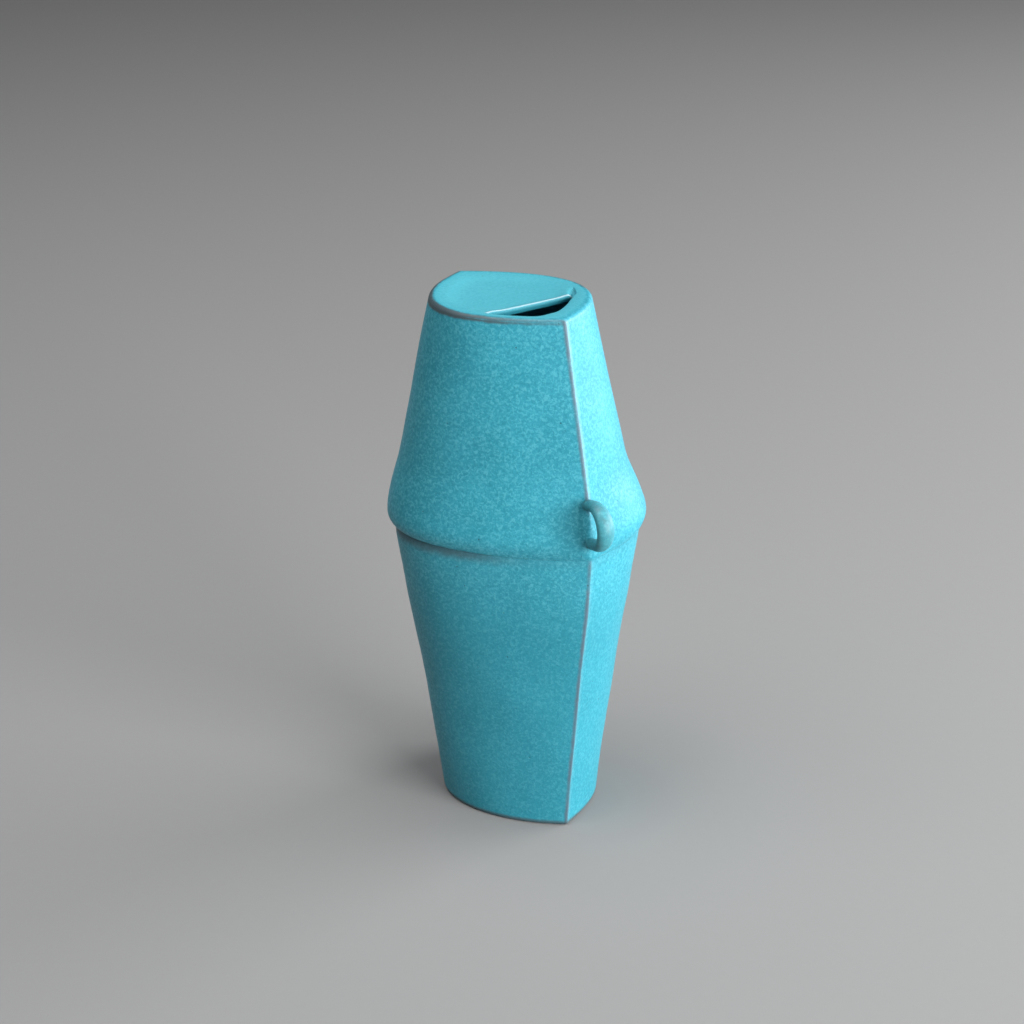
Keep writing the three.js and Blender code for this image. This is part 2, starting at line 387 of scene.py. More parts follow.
def groove(points):
    """How far the wall steps back into the crease, which is deepest at the left end."""
    walls = bpy.context.scene.vase_walls
    over, under = 2.6, 3.2
    starts, swells = 3.0, 24.0
    depth = mm(walls.crease_depth) + mm(walls.crease_swell) * smooth_step(
        (-points[:, 0] - starts) / swells
    )
    away = points[:, 2] - CREASE_LEVEL
    round_edge = 1 - np.sqrt(1 - np.clip(1 - away / over, 0, 1) ** 2)
    slope = np.clip(1 + away / under, 0, 1) ** 2
    return depth * np.where(away >= 0, round_edge, slope)


def wall_ring(z, out, half, marked=True, rounding=None):
    """One ring of points of a front (half 1) or back (half -1) slab. out may differ by column."""
    same = 1e-6
    spread = np.broadcast_to(np.asarray(out, float), COLUMNS)
    run = seam_rounding(z) if rounding is None else rounding
    least, most = spread.min(), spread.max()
    points, outward, _, _ = half_ring(z, most, run)
    if most - least > same:
        inner = half_ring(z, least, run)[0]
        points = inner + (points - inner) * ((spread - least) / (most - least))[:, None]
    centre = section_at(z)[3:5]
    placed = np.column_stack([half * points + centre, np.full(COLUMNS, z)])
    if marked:
        waisting = mm(bpy.context.scene.vase_walls.waisting)
        bow = waisting * math.sin(math.pi * min(z / station_level("hip"), 1))
        moved = hand_marks(placed) - groove(placed) - bow
        placed[:, :2] += half * outward * moved[:, None]
    return placed


# ---- Meshes ------------------------------------------------------------------------------------------


def strip(rings, columns):
    """Quads between neighbouring rings; the last ring joins the first."""
    faces = []
    for ring in range(rings):
        low, high = ring * columns, (ring + 1) % rings * columns
        for column in range(columns - 1):
            faces.append((low + column, low + column + 1, high + column + 1, high + column))
    return faces


def end_faces(rings, columns):
    """A ladder of quads that closes each end of a strip with as many outer as inner rings."""
    faces = []
    for ring in range(rings // 2 - 1):
        pair = (ring, ring + 1, rings - 2 - ring, rings - 1 - ring)
        faces.append([row * columns for row in pair])
        faces.append([row * columns + columns - 1 for row in reversed(pair)])
    return faces


def tube(rings, sides):
    """Quads between closed rings, with a fan to each of the two points that follow the rings."""
    first_cap, last_cap, last = rings * sides, rings * sides + 1, (rings - 1) * sides
    faces = []
    for k in range(sides):
        following = (k + 1) % sides
        for low in range(0, last, sides):
            high = low + sides
            faces.append((low + k, low + following, high + following, high + k))
        faces.append((k, following, first_cap))
        faces.append((last + k, last + following, last_cap))
    return faces


# Names of the distances that the glaze is coloured by, in millimetres.
START, FINISH, RIM, CUT = "from_start", "to_finish", "below_rim", "from_cut"
FAR = 100.0


def add_piece(name, node, material, points, faces, marks):
    """Puts a piece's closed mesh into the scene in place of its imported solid."""
    merged_within, sharp_from = 1e-7, math.radians(50)
    mesh = bpy.data.meshes.new(name)
    mesh.from_pydata((np.asarray(points) * MM).tolist(), [], faces)
    for key in (START, FINISH, RIM, CUT):
        values = marks.get(key, np.full(len(points), FAR))
        mesh.attributes.new(key, "FLOAT", "POINT").data.foreach_set("value", values)
    work = bmesh.new()
    work.from_mesh(mesh)
    bmesh.ops.remove_doubles(work, verts=work.verts, dist=merged_within)
    bmesh.ops.recalc_face_normals(work, faces=work.faces)
    work.to_mesh(mesh)
    work.free()
    mesh.shade_smooth()
    mesh.set_sharp_from_angle(angle=sharp_from)
    mesh.materials.append(material)
    piece = bpy.data.objects.new(name, mesh)
    bpy.context.scene.collection.objects.link(piece)
    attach(piece, "root")
    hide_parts(node)
    return piece


def wall_levels(low, high):
    """Heights of the rings from low to high, close together where the wall curves."""
    fine, middling, coarse = 0.35, 0.8, 1.5
    by_crease, by_rim, by_hip = 3.5, 4.0, 3.0
    hip, flare = station_level("hip"), station_level("flare")
    levels = [low]
    while levels[-1] < high:
        z = levels[-1]
        step = middling if hip - by_hip < z < flare else coarse
        if abs(z - CREASE_LEVEL) < by_crease or z > RIM_LEVEL - by_rim:
            step = fine
        levels.append(min(z + step, high))
    return levels


def mouth_share(distances, whole, half):
    """1 on the columns that open into the mouth and 0 elsewhere, with a short fade inside it."""
    mouth = bpy.context.scene.vase_mouth
    fade = 2.0
    if half > 0:
        return smooth_step((mm(mouth.front_leg) - distances) / fade)
    reach = mm(mouth.side_leg) + mm(mouth.notch_run) / 2
    return smooth_step((reach - (whole - distances)) / fade)


def corner_fill(distances, whole, half):
    """Extra clay inside the mouth's corner: most of it on the side wall, little on the front wall."""
    fill = mm(bpy.context.scene.vase_walls.corner_fill)
    seam_share, seam_run, side_end, side_fade = 0.85, 8.0, 25.0, 14.0
    if half > 0:
        return fill * seam_share * smooth_step(1 - distances / seam_run)
    beyond = whole - distances
    grown = seam_share + (1 - seam_share) * smooth_step(beyond / seam_run)
    return fill * grown * smooth_step((side_end - beyond) / side_fade)


def lip_run():
    """Run of the rounding inside a seam at the lip, between those of the outside and the inside."""
    inner_run, inner_share = mm(bpy.context.scene.vase_walls.inner_round), 0.8
    outer_run = seam_rounding(RIM_LEVEL)
    return outer_run + (inner_run - outer_run) * inner_share


def rim_edge(half):
    """Rings over the rim's rounded outer edge, and how far each lies below the rim."""
    edge = mm(bpy.context.scene.vase_walls.rim_round)
    rings = []
    for angle in QUARTER[1:]:
        z = RIM_LEVEL - edge * (1 - math.sin(angle))
        rings.append(wall_ring(z, -edge * (1 - math.cos(angle)), half))
    return rings, [edge * (math.pi / 2 - angle) for angle in QUARTER[1:]]


def rim_lip(half, fill, distances, whole):
    """Rings over the rim's inner edge, rounded where it opens into the mouth, and their marks."""
    walls = bpy.context.scene.vase_walls
    thick, edge, lip = mm(walls.thickness), mm(walls.rim_round), mm(walls.lip_round)
    closed_lip, mark_step = 0.05, 0.2
    open_lip = closed_lip + (lip - closed_lip) * mouth_share(distances, whole, half)
    rings = []
    for angle in QUARTER[:0:-1]:
        out = open_lip * (1 - math.cos(angle)) - thick - fill
        ring = wall_ring(RIM_LEVEL, out, half, False, lip_run())
        ring[:, 2] = RIM_LEVEL - mm(walls.lip_fall) - open_lip * (1 - math.sin(angle))
        rings.append(ring)
    return rings, [edge - thick - mark_step * k for k in range(len(rings))]


def wall_marks(ring, below_rim):
    """Distances of a wall's ring from both seams and the rim. Those inside the vase are far."""
    if below_rim == -FAR:
        return np.full((3, COLUMNS), [[FAR], [FAR], [below_rim]])
    ways = ways_along(ring)
    return np.stack([ways, ways[-1] - ways, np.full(COLUMNS, below_rim)])


def build_wall(name, node, low, high, half, rimmed):
    """A wall slab from seam to seam, with a rounded lip if it reaches the rim."""
    walls = bpy.context.scene.vase_walls
    thick, edge, inner_run = mm(walls.thickness), mm(walls.rim_round), mm(walls.inner_round)
    fill_depth = 12.0
    levels = wall_levels(low, high - edge if rimmed else high)
    distances, whole = half_ring(high, -thick, inner_run)[2:]
    fill = corner_fill(distances, whole, half) if rimmed else 0
    outer = [wall_ring(z, 0, half) for z in levels]
    inner = []
    for z in reversed(levels):
        filled = fill * smooth_step(1 - (high - z) / fill_depth)
        inner.append(wall_ring(z, -thick - filled, half, False, inner_run))
    below, inside = [RIM_LEVEL - z for z in levels], [-FAR] * len(levels)
    if rimmed:
        edge_rings, edge_below = rim_edge(half)
        lip_rings, lip_below = rim_lip(half, fill, distances, whole)
        outer, below = outer + edge_rings, below + edge_below
        inner, inside = lip_rings + inner, lip_below + inside
    rings = outer + inner
    start, finish, rim = np.hstack([wall_marks(*pair) for pair in zip(rings, below + inside)])
    marks = {START: start, FINISH: finish, RIM: rim}
    faces = strip(len(rings), COLUMNS) + end_faces(len(rings), COLUMNS)
    return add_piece(name, node, body_glaze(), np.vstack(rings), faces, marks)


def foot_marks(ring):
    """Distances of a ring around the foot from the seams at both ends of each half."""
    half = COLUMNS - 1
    ways = ways_along(np.vstack([ring, ring[:1]]))
    front, back = ways[:half], ways[half:-1]
    start = np.append(front, back - ways[half])
    finish = np.append(ways[half] - front, ways[-1] - back)
    return np.stack([start, finish])


def build_foot():
    """The flat slab under the walls, with a rounded edge on the table."""
    edge = mm(bpy.context.scene.vase_walls.foot_round)
    shares, side_rings = (0.7, 0.35), 6

    def whole_ring(z, out):
        front, back = wall_ring(z, out, 1), wall_ring(z, out, -1)
        return np.vstack([front[:-1], back[:-1]])

    def shrunk(ring):
        middle = ring.mean(axis=0)
        return [middle + (ring - middle) * part for part in shares]

    side = []
    for angle in QUARTER[::-1]:
        side.append(whole_ring(edge * (1 - math.sin(angle)), -edge * (1 - math.cos(angle))))
    for z in np.linspace(edge, FOOT_LEVEL, side_rings)[1:]:
        side.append(whole_ring(z, 0))
    rings = shrunk(side[0])[::-1] + side + shrunk(side[-1])
    caps = [rings[0].mean(axis=0), rings[-1].mean(axis=0)]
    faces = tube(len(rings), len(side[0]))
    start, finish = np.hstack([foot_marks(ring) for ring in rings] + [np.full((2, 2), FAR)])
    marks = {START: start, FINISH: finish}
    points = np.vstack(rings + caps)
    return add_piece("foot", "foot_slab", body_glaze(), points, faces, marks)


def plate_edge():
    """Edge of the top plate along the inside of the walls, from one end of the cut to the other."""
    walls, mouth = bpy.context.scene.vase_walls, bpy.context.scene.vase_mouth
    thick, inner_run = mm(walls.thickness), mm(walls.inner_round)
    distances, whole = half_ring(RIM_LEVEL, -thick, inner_run)[2:]
    overlap, least_apart = 0.05, 0.1
    starts, stops = mm(mouth.front_leg), whole - mm(mouth.side_leg)

    def inside(half):
        out = overlap - thick - corner_fill(distances, whole, half)
        return wall_ring(RIM_LEVEL, out, half, False, lip_run())

    def at(ring, way):
        return np.array([np.interp(way, distances, ring[:, axis]) for axis in range(3)])

    front, back = inside(1), inside(-1)
    along_front = front[distances > starts + least_apart]
    along_back = back[1:][distances[1:] < stops - least_apart]
    edge = np.vstack([at(front, starts), along_front, along_back, at(back, stops)])
    edge[:, 2] = RIM_LEVEL - mm(walls.lip_fall)
    return edge


def plate_shares():
    """Steps from the wall (0) to the cut (1), closer together by the wall and by the cut."""
    by_wall, by_cut = 0.12, 0.86
    wall_steps, middle_steps, cut_steps = 6, 21, 11
    near_wall = np.linspace(0, by_wall, wall_steps + 1)
    across = np.linspace(by_wall, by_cut, middle_steps + 1)[1:]
    near_cut = np.linspace(by_cut, 1, cut_steps + 1)[1:]
    return np.concatenate([near_wall, across, near_cut])


def plate_relief(spot, outline, from_cut):
    """Height of the plate's top over its edge: the dish, the raised edge and the notch."""
    mouth = bpy.context.scene.vase_mouth
    burr, burr_run, burr_end = mm(mouth.burr), mm(mouth.burr_run), 2.0
    dish, dish_run = mm(mouth.dish), mm(mouth.dish_run)
    notch, notch_run, notch_width = mm(mouth.notch), mm(mouth.notch_run), mm(mouth.notch_width)
    notch_inset = 0.4
    reach = np.linalg.norm(spot[:, None] - outline[None], axis=2)
    from_edge = reach.min(axis=1)
    ways = ways_along(outline)
    behind = ways[-1] - ways[reach.argmin(axis=1)]
    sunk = dish * (1 - np.exp(-((from_edge / dish_run) ** 2)))
    raised = burr * np.exp(-((from_cut / burr_run) ** 2)) * smooth_step(from_edge / burr_end)
    inset = (from_edge - notch_inset) / notch_width
    notched = notch * np.exp(-(inset**2)) * smooth_step(1 - behind / notch_run)
    return raised - sunk - notched


def build_plate():
    """The top plate: a shallow dish with a raised edge along the cut and a notch behind it."""
    mouth = bpy.context.scene.vase_mouth
    cut_round, face, bevel = mm(mouth.cut_round), mm(mouth.cut_face), mm(mouth.bevel)
    least_gap, most_rounded, least_under = 1e-3, 0.5, 0.7
    face_depths, under_parts = (0.35, 0.7, 1), (0.4, 0.2, 0)
    edge = plate_edge()
    outline, level_edge = edge[:, :2], edge[:, 2]
    begin, stop = outline[0], outline[-1]
    ways = ways_along(outline)
    cut = begin + (stop - begin) * (ways / ways[-1])[:, None]
    across = (stop - begin) / np.linalg.norm(stop - begin)
    off_cut = np.array([-across[1], across[0]])
    if np.dot(outline.mean(axis=0) - begin, off_cut) < 0:
        off_cut = -off_cut
    gap = np.maximum(np.linalg.norm(outline - cut, axis=1), least_gap)
    rings, from_cuts = [], []

    def add_ring(part, height, from_cut):
        spot = outline + (cut - outline) * np.reshape(part, (-1, 1))
        rings.append(np.column_stack([spot, np.broadcast_to(height, len(edge))]))
        from_cuts.append(np.broadcast_to(from_cut, len(edge)))

    rounded = np.minimum(cut_round / gap, most_rounded)
    for part in plate_shares():
        pulled = np.minimum(part, 1 - rounded)
        spot = outline + (cut - outline) * pulled[:, None]
        from_cut = (spot - begin) @ off_cut
        height = level_edge + plate_relief(spot, outline, from_cut)
        add_ring(pulled, height, from_cut)
    for angle in QUARTER[2::2]:
        drop = cut_round * (1 - math.cos(angle))
        part = pulled + (1 - pulled) * math.sin(angle)
        add_ring(part, height - drop, from_cut * (1 - math.sin(angle)) - drop)
    for depth in face_depths:
        add_ring(1, height - cut_round - face * depth, -cut_round - face * depth)
    under = np.maximum(least_under, 1 - bevel / gap)
    for part in (under, *under_parts):
        add_ring(part, PLATE_UNDERSIDE, FAR)
    faces = strip(len(rings), len(edge))
    marks = {CUT: np.concatenate(from_cuts)}
    return add_piece("top", "top_plate", top_glaze(), np.vstack(rings), faces, marks)


def seam_point(z):
    """The sharp edge between both walls at the front seam."""
    _, seam_x, seam_y, centre_x, centre_y, _ = section_at(z)
    return np.array([centre_x + seam_x, centre_y - seam_y, z])


def ring_frame():
    """Middle of the ring's bend, and its ways outward, upward, sideways and level."""
    sizes = bpy.context.scene.vase_ring
    stand_off, beside = mm(sizes.stand_off), 4.0
    below_top = mm(sizes.radius) + mm(sizes.thickness) / 2 + stand_off * math.sin(sizes.tilt)
    z = RING_TOP - below_top
    normal = half_ring(z, 0, beside)[1][0]
    turned = math.atan2(normal[1], normal[0]) + sizes.turn
    level_way = np.array([math.cos(turned), math.sin(turned), 0])
    upright = np.array([0, 0, 1])
    outward = level_way * math.cos(sizes.tilt) + upright * math.sin(sizes.tilt)
    upward = upright * math.cos(sizes.tilt) - level_way * math.sin(sizes.tilt)
    sideways = np.cross(level_way, upright)
    return seam_point(z) + outward * stand_off, outward, upward, sideways, level_way


def ring_stops():
    """Stops of the coil's middle: way outward and upward from the ring's middle, and its spoke."""
    sizes = bpy.context.scene.vase_ring
    radius, bite = mm(sizes.radius), mm(sizes.bite)
    middle, outward, upward, _, level_way = ring_frame()
    leg_steps, bend_steps, stride = 10, 40, 0.1

    def leg(side):
        inner = 0.0
        while True:
            spot = middle + outward * inner + upward * side * radius
            if np.dot(spot - seam_point(spot[2]), level_way) < -bite:
                break
            inner -= stride
        return [(way, side * radius, 0, side) for way in np.linspace(inner, 0, leg_steps, False)]

    bend = []
    for angle in np.linspace(math.pi / 2, -math.pi / 2, bend_steps):
        across, along = math.cos(angle), math.sin(angle)
        bend.append((radius * across, radius * along, across, along))
    return leg(1) + bend + leg(-1)[::-1]


def build_ring():
    """A flattened coil bent to half a ring, with two legs that are luted on the seam."""
    sizes = bpy.context.scene.vase_ring
    width, thickness, slimming = mm((sizes.width, sizes.thickness, sizes.slimming)) / 2
    stand_off, sides = mm(sizes.stand_off), 28
    wobble, wobble_run = 0.06, 4.0
    middle, outward, upward, sideways, _ = ring_frame()
    stops = ring_stops()
    points = []
    for way, rise, out, up in stops:
        place = middle + outward * way + upward * rise
        spoke = outward * out + upward * up
        uneven = 1 + wobble * noise.noise(Vector(place) / wobble_run)
        by_wall = 1 - smooth_step((way + stand_off) / (mm(sizes.radius) + stand_off))
        across, deep = (width - slimming * by_wall) * uneven, thickness * uneven
        for around in np.linspace(0, 2 * math.pi, sides, endpoint=False):
            turned_in = spoke * math.cos(around) * deep
            points.append(place + turned_in + sideways * math.sin(around) * across)
    caps = [np.mean(points[:sides], axis=0), np.mean(points[-sides:], axis=0)]
    faces = tube(len(stops), sides)
    return add_piece("ring", "ring_handle", coil_glaze(), points + caps, faces, {})


# ---- Glaze -------------------------------------------------------------------------------------------


class Recipe:
    """Adds the nodes of one material."""

    def __init__(self, name):
        self.material = bpy.data.materials.new(name)
        self.material.use_nodes = True
        self.tree = self.material.node_tree
        self.tree.nodes.clear()
        self.place = self.add("ShaderNodeTexCoord").outputs["Object"]

    def add(self, kind, inputs=None, **settings):
        """A node with its settings; an input is a plain value or another node's output."""
        node = self.tree.nodes.new(kind)
        for key, value in settings.items():
            setattr(node, key, value)
        for key, value in (inputs or {}).items():
            if isinstance(value, bpy.types.NodeSocket):
                self.tree.links.new(value, node.inputs[key])
            else:
                node.inputs[key].default_value = value
        return node

    def cloud(self, millimetres, detail=2.0, distortion=0.0):
        """Soft noise with marks of about the given size."""
        scale = 1 / (millimetres * MM)
        inputs = {"Vector": self.place, "Scale": scale, "Detail": detail, "Distortion": distortion}
        return self.add("ShaderNodeTexNoise", inputs).outputs["Fac"]

    def cells(self, millimetres):
        """Distance from scattered points and a random number for each of them."""
        inputs = {"Vector": self.place, "Scale": 1 / (millimetres * MM)}
        found = self.add("ShaderNodeTexVoronoi", inputs)
        return found.outputs["Distance"], found.outputs["Color"]

    def calculate(self, operation, *values):
        """The result of one step of arithmetic."""
        inputs = dict(enumerate(values))
        return self.add("ShaderNodeMath", inputs, operation=operation).outputs[0]

    def product(self, first, *others):
        """All values multiplied."""
        for other in others:
            first = self.calculate("MULTIPLY", first, other)
        return first

    def along(self, axis):
        """Place along the X, Y or Z axis, in millimetres."""
        place = self.add("ShaderNodeSeparateXYZ", {"Vector": self.place}).outputs[axis]
        return self.calculate("DIVIDE", place, MM)

    def between(self, value, low, high, to_low=0.0, to_high=1.0):
        """The value's way from low to high, smooth and held at both ends."""
        names = ("Value", "From Min", "From Max", "To Min", "To Max")
        inputs = dict(zip(names, (value, low, high, to_low, to_high)))
        node = self.add("ShaderNodeMapRange", inputs, interpolation_type="SMOOTHSTEP")
        return node.outputs["Result"]

    def mark(self, name):
        """A distance that the mesh carries, in millimetres."""
        return self.add("ShaderNodeAttribute", attribute_name=name).outputs["Fac"]

    def blend(self, amount, under, over):
        """Lays one colour over another."""
        node = self.add("ShaderNodeMix", {"Factor": amount}, data_type="RGBA")
        for socket, value in (("A_Color", under), ("B_Color", over)):
            entry = next(s for s in node.inputs if s.identifier == socket)
            if isinstance(value, bpy.types.NodeSocket):
                self.tree.links.new(value, entry)
            else:
                entry.default_value = value
        return next(s for s in node.outputs if s.identifier == "Result_Color")

    def coats(self, base, *layers):
        """Lays colours over a base, one after the other, each with its mask and its strength."""
        for mask, strength, tint in layers:
            base = self.blend(self.product(mask, strength), base, rgba(tint))
        return base

    def finish(self, base, grain, height, dull, glossy, relief):
        """Ends the recipe in one satin surface; relief is the bump's height in millimetres."""
        roughness = self.between(grain, 0.3, 0.7, dull, glossy)
        bump = self.add("ShaderNodeBump", {"Height": height, "Distance": relief * MM, "Strength": 1.0})
        inputs = {
            "Base Color": base,
            "Roughness": roughness,
            "Normal": bump.outputs["Normal"],
            "IOR": 1.44,
        }
        surface = self.add("ShaderNodeBsdfPrincipled", inputs)
        self.add("ShaderNodeOutputMaterial", {"Surface": surface.outputs["BSDF"]})
        return self.material


def rgba(value):
    """A colour with full cover."""
    return (*value, 1.0)


def mottle(recipe, main, contrast):
    """The glaze's own colour: broad clouds, a fine light and dark mottle, and pinholes."""
    glaze = bpy.context.scene.vase_glaze
    cloud_size, grain_size, fleck_size, hole_spacing = 17, 0.8, 0.62, 3.4
    holes_left_out, hole_depth, hole_edge = 0.62, 1.5, (0.085, 0.045)
    cloud_strength, dark_strength, light_strength, fleck_strength = 0.35, 0.5, 0.34, 0.24
    grain = recipe.cloud(grain_size, 3, 0.6)
    distance, chance = recipe.cells(hole_spacing)
    chosen = recipe.calculate("GREATER_THAN", chance, holes_left_out)
    hole = recipe.product(recipe.between(distance, *hole_edge), chosen)
    clouds = recipe.between(recipe.cloud(cloud_size), 0.35, 0.68)
    dark_grain, light_grain = recipe.between(grain, 0.5, 0.3), recipe.between(grain, 0.47, 0.68)
    flecks = recipe.between(recipe.cloud(fleck_size, 1.5, 0.3), 0.55, 0.75)
    base = recipe.coats(
        rgba(main),
        (clouds, cloud_strength * contrast, glaze.deep),
        (dark_grain, dark_strength * contrast, glaze.deep),
        (light_grain, light_strength * contrast, glaze.light),
        (flecks, fleck_strength * contrast, glaze.light),
        (hole, 0.75, glaze.pinhole),
    )
    height = recipe.calculate("SUBTRACT", grain, recipe.product(hole, hole_depth))
    return base, height, grain


def ragged(recipe, distance, wander):
    """A distance in millimetres made uneven by a little noise, so that a line of it looks worn."""
    bend_size = 2.2
    drift = recipe.calculate("MULTIPLY_ADD", recipe.cloud(bend_size), wander, -wander / 2)
    return recipe.calculate("ADD", distance, drift)


# Each pair below is where a mask starts and where it is full, in millimetres.


def seam_masks(recipe, above_crease, finish):
    """Worn seam where clay shows: pale on the lit side wall, partly a painted highlight, with painted
    shade as a dark line on its very edge and one on the shaded front wall.
    """
    above_ring, under_crease, under_lip = (12.5, 16.5), (1.5, -2.5), (0.3, 1.2)
    pale_line, front_line, edge_line = (1.7, 0.4), (1.2, 0.35), (0.35, 0.1)
    upper_paleness, lower_paleness, wander, patch_size = 0.3, 0.1, 0.5, 9
    start = ragged(recipe, recipe.mark(START), wander)
    upper = recipe.between(above_crease, *above_ring)
    lower = recipe.between(above_crease, *under_crease)
    patches = recipe.between(recipe.cloud(patch_size), 0.3, 0.6, 0.5, 1)
    worn = recipe.product(patches, recipe.between(recipe.mark(RIM), *under_lip))
    shaded_wear = recipe.product(recipe.calculate("ADD", upper, lower), worn)
    upper_pale, lower_pale = recipe.product(upper, upper_paleness), recipe.product(lower, lower_paleness)
    worn_and_lit = recipe.product(recipe.calculate("ADD", upper_pale, lower_pale), worn)
    pale = recipe.product(recipe.between(finish, *pale_line), worn_and_lit)
    front_seam_shade = recipe.product(recipe.between(start, *front_line), shaded_wear)
    edge_seam_shade = recipe.product(recipe.between(finish, *edge_line), shaded_wear)
    return pale, front_seam_shade, edge_seam_shade


def rim_break_and_shade(recipe, finish):
    """Dark line under the rim, where the glaze breaks on its edge, darkened by painted shade: broader at
    the shaded left end of each wall and faint on the lit side face.
    """
    under_line, over_line, broader, left_end = (1.8, 1), (-0.2, 0.8), (18, 36), (2, 26)
    right_of_middle, near_seam = (-2, 3), (30, 20)
    lower_wander, upper_wander, extra, right_end, on_side = 0.7, 0.6, 0.3, 0.5, 0.12
    start, rim = recipe.mark(START), recipe.mark(RIM)
    wider = recipe.product(recipe.between(start, *broader), extra)
    lower_edge = recipe.calculate("SUBTRACT", ragged(recipe, rim, lower_wander), wider)
    upper_edge = recipe.calculate("ADD", ragged(recipe, rim, upper_wander), wider)
    line = recipe.product(recipe.between(lower_edge, *under_line), recipe.between(upper_edge, *over_line))
    to_left = recipe.between(start, *left_end, right_end, 1)
    by_seam = recipe.between(finish, *near_seam)
    side_face = recipe.product(recipe.between(recipe.along("X"), *right_of_middle), by_seam)
    return recipe.product(line, to_left, recipe.between(side_face, 0, 1, 1, on_side))


def crease_shade(recipe, above_crease):
    """Painted shade under the crease's overhang, strong at the left end and fading to the right, towards
    the light.
    """
    upper_line, lower_line, leftwards = (0.9, -0.3), (-3.7, -0.7), (4, -20)
    upper_wander, lower_wander, faint, strong = 0.8, 1.2, 0.1, 0.75
    upper_edge = recipe.between(ragged(recipe, above_crease, upper_wander), *upper_line)
    lower_edge = recipe.between(ragged(recipe, above_crease, lower_wander), *lower_line)
    to_left = recipe.between(recipe.along("X"), *leftwards, faint, strong)
    return recipe.product(upper_edge, lower_edge, to_left)


def body_glaze():
    """Glaze of the walls and the foot: it breaks to clay on the seams and to iron under the rim, with
    painted shade over the lower body, under the crease, beside the seams, under the rim and at the foot.
    """
    if "body_glaze" in bpy.data.materials:
        return bpy.data.materials["body_glaze"]
    glaze = bpy.context.scene.vase_glaze
    recipe = Recipe("body_glaze")
    base, height, grain = mottle(recipe, glaze.middle, 1.0)
    above_table = recipe.along("Z")
    above_crease = recipe.calculate("SUBTRACT", above_table, CREASE_LEVEL)
    lower_body_shade, over_rim, foot_line, wander = (2.5, -29.5), (-0.1, -0.8), (1.9, 0.9), 0.5
    finish = ragged(recipe, recipe.mark(FINISH), wander)
    pale, front_seam_shade, edge_seam_shade = seam_masks(recipe, above_crease, finish)
    foot_wear_and_shade = recipe.between(ragged(recipe, above_table, 0.4), *foot_line)
    base = recipe.coats(
        base,
        # Painted shade: the lower body darkens towards the foot.
        (recipe.between(above_crease, *lower_body_shade), 0.45, glaze.deep),
        # Painted shade under the crease.
        (crease_shade(recipe, above_crease), 1.0, glaze.iron_and_shade),
        (recipe.between(recipe.mark(RIM), *over_rim), 0.8, glaze.top),
        # Worn clay on the seams: pale on the lit side wall, partly a painted highlight, and painted shade
        # on the front wall and the very edge.
        (pale, 1.0, glaze.clay),
        (front_seam_shade, 0.8, glaze.shaded_clay),
        (edge_seam_shade, 0.8, glaze.shaded_clay),
        # Glaze break under the rim with painted shade, darkest at the left.
        (rim_break_and_shade(recipe, finish), 1.0, glaze.iron_and_shade),
        # Worn foot edge and painted contact shade: a dark band just above the table.
        (foot_wear_and_shade, 0.8, glaze.iron_and_shade),
    )
    return recipe.finish(base, grain, height, dull=0.52, glossy=0.4, relief=0.07)


def top_glaze():
    """Smoother, paler glaze of the top plate: worn clay partly painted as a highlight along the cut's
    arris, and painted shade on the cut face below it.
    """
    glaze = bpy.context.scene.vase_glaze
    recipe = Recipe("top_glaze")
    base, height, grain = mottle(recipe, glaze.top, 0.35)
    above_arris, under_arris, cut_face, wander = (0.7, 0.1), (-0.4, -0.1), (-0.5, -1.4), 0.3
    cut = ragged(recipe, recipe.mark(CUT), wander)
    arris = recipe.product(recipe.between(cut, *above_arris), recipe.between(cut, *under_arris))
    base = recipe.coats(
        base,
        # Worn clay along the cut's arris, made paler as a painted highlight where the light catches the
        # edge.
        (arris, 0.75, glaze.clay),
        # Painted shade: the face under the cut is coloured deep, where the mouth's shadow falls on it.
        (recipe.between(cut, *cut_face), 1.0, glaze.deep),
    )
    return recipe.finish(base, grain, height, dull=0.5, glossy=0.42, relief=0.03)


def coil_glaze():
    """Thin glaze of the ring, greyer than the walls."""
    glaze = bpy.context.scene.vase_glaze
    recipe = Recipe("coil_glaze")
    base, height, grain = mottle(recipe, glaze.coil, 0.5)
    patch_size = 3.5
    patches = recipe.between(recipe.cloud(patch_size), 0.45, 0.7)
    base = recipe.coats(base, (patches, 0.35, glaze.iron_and_shade))
    return recipe.finish(base, grain, height, dull=0.5, glossy=0.4, relief=0.04)


# ---- Stage -------------------------------------------------------------------------------------------


# Where each lamp stands: its turn from the front to the right and its rise, in degrees.
LAMPS = {"front": (46, 14), "side": (70, 12), "window": (110, 12), "top": (0, 88), "left": (-70, 60)}


def add_lamp(name, turn, rise, watts):
    """A soft square lamp that looks at the vase."""
    distance, width, middle = 1.2, 0.8, Vector((0, 0, 0.08))
    turn, rise = math.radians(turn), math.radians(rise)
    flat = math.cos(rise)
    way = Vector((math.sin(turn) * flat, -math.cos(turn) * flat, math.sin(rise)))
    light = bpy.data.lights.new(name, "AREA")
    light.size = width
    light.energy = watts
    lamp = bpy.data.objects.new(name, light)
    lamp.location = middle + way * distance
    lamp.rotation_euler = (-way).to_track_quat("-Z", "Y").to_euler()
    bpy.context.scene.collection.objects.link(lamp)
    return lamp


